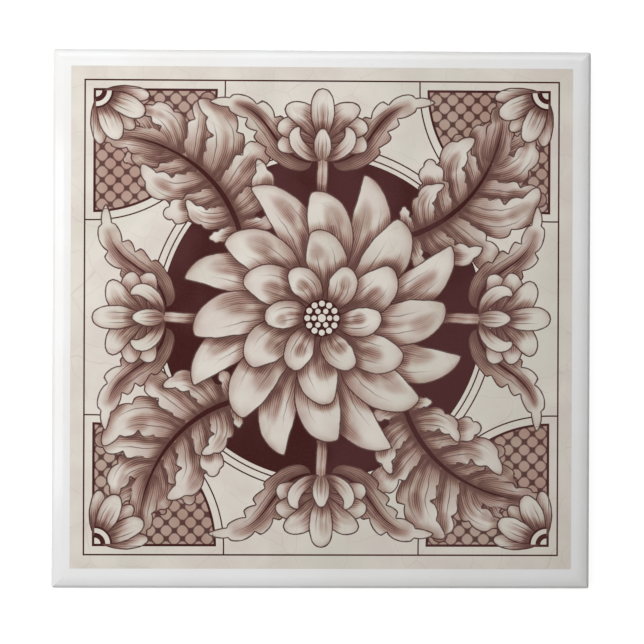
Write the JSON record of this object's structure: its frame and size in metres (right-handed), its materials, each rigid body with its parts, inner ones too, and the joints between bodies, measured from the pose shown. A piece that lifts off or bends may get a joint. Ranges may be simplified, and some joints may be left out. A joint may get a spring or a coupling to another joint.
{
  "type": "transferware tile",
  "caption": "Square glazed ceramic wall tile with a brown transfer-printed ornament, a white border, a rounded cushion edge and a waffle-keyed unglazed back.",
  "frame": {"origin": "centre of the tile's outline at the level of its back face, which it lies on", "axes": "+Z out of the printed face, +Y towards the top of the print, +X to the right of the print"},
  "size_m": [0.1524, 0.1524, 0.0079],
  "materials": {
    "white_glaze": "gloss",
    "transfer_print": "gloss"
  },
  "bodies": {
    "root": {"tile": "white_glaze"}
  },
  "joints": []
}
